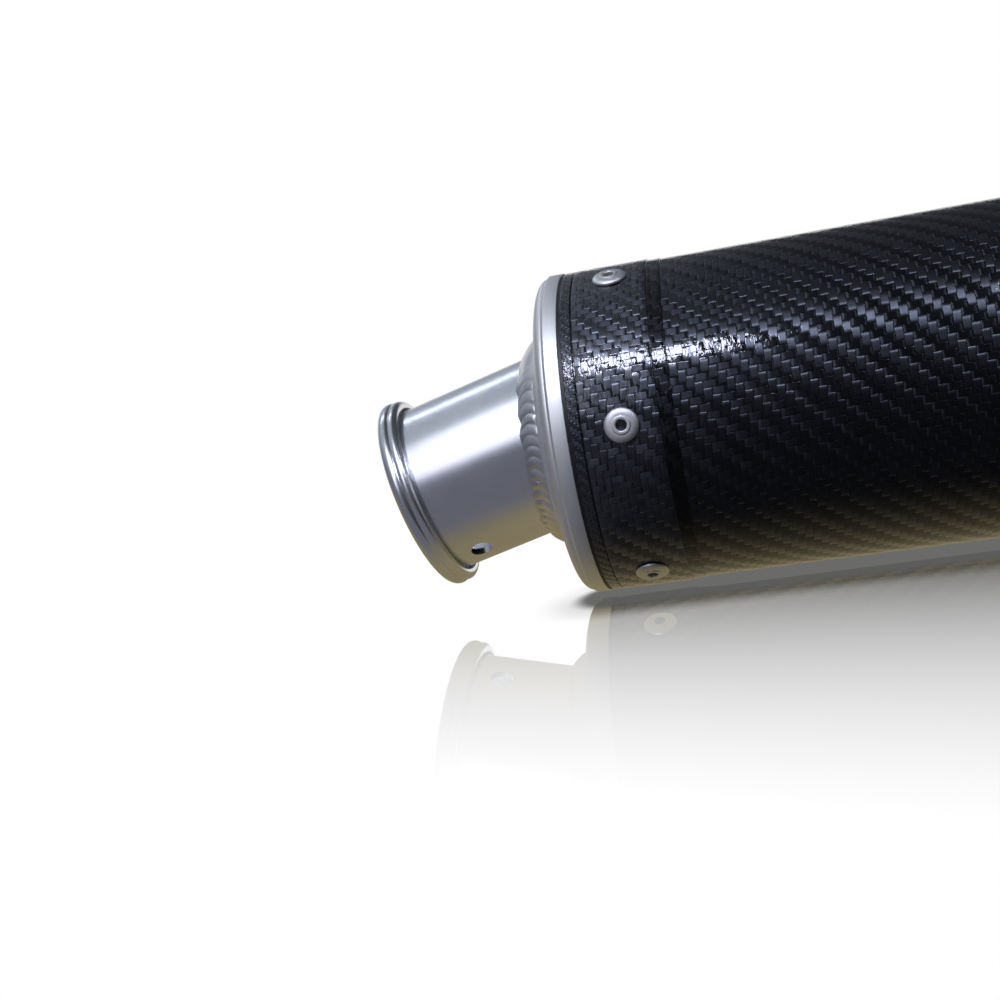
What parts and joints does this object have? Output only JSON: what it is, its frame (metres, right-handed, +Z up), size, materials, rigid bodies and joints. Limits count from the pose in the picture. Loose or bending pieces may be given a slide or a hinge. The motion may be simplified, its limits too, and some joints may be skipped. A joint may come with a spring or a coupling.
{
  "type": "exhaust muffler",
  "caption": "Round carbon can with riveted aluminium end caps, a turned-down outlet with a rolled lip, a slotted inlet socket and a mounting strap.",
  "frame": {"origin": "centre of the inlet socket's mouth, on the can's axis", "axes": "+X runs along the can and out of the inlet's mouth, so the outlet is towards -X; +Z is up: the strap's ears stand up and the outlet turns down"},
  "size_m": [0.4311, 0.1022, 0.137],
  "materials": {
    "carbon": "glossy lacquered carbon twill",
    "carbon_band": "glossy lacquered carbon twill",
    "turned_aluminium": "fine turned, satin",
    "brushed_aluminium": "brushed, satin",
    "weld_metal": "rippled weld",
    "rivet_aluminium": "bright, drawn",
    "stainless": "satin",
    "zinc_steel": "zinc plated",
    "wool": "matted fine wire",
    "fibre": "matted glass fibre",
    "sealant": "matte",
    "liner_rubber": "matte, ribbed"
  },
  "bodies": {
    "can": {"carbon_sleeve": "carbon", "outlet_band": "carbon_band", "inlet_band": "carbon_band", "outlet_cap": "turned_aluminium", "inlet_cap": "turned_aluminium", "outlet_seal": "sealant", "inlet_seal": "sealant", "outlet_pipe": "brushed_aluminium", "outlet_weld": "weld_metal", "inlet_pipe": "brushed_aluminium", "inlet_weld": "weld_metal", "outlet_rivets": "rivet_aluminium", "outlet_rivet_mandrels": "zinc_steel", "inlet_rivets": "rivet_aluminium", "inlet_rivet_mandrels": "zinc_steel", "core_tube": "stainless", "outlet_core_plate": "stainless", "inlet_core_plate": "stainless", "steel_wool": "wool", "fibre_packing": "fibre"},
    "liner": {"strap_liner": "liner_rubber"},
    "strap": {"mount_strap": "brushed_aluminium", "strap_bolt": "stainless", "strap_nut": "stainless", "strap_washers": "stainless"},
    "inlet_clamp": {"clamp_band": "stainless", "clamp_bolt": "zinc_steel", "clamp_nut": "zinc_steel", "clamp_washers": "zinc_steel"}
  },
  "joints": [
    {"name": "strap_slide", "type": "slide", "parent": "can", "child": "liner", "axis": [1, 0, 0], "range_m": [-0.155, 0.045]},
    {"name": "strap_turn", "type": "hinge", "parent": "liner", "child": "strap", "pos_m": [-0.16271, 0, 0], "axis": [1, 0, 0], "continuous": true},
    {"name": "clamp_turn", "type": "hinge", "parent": "can", "child": "inlet_clamp", "pos_m": [-0.013, 0, 0], "axis": [1, 0, 0], "continuous": true}
  ]
}
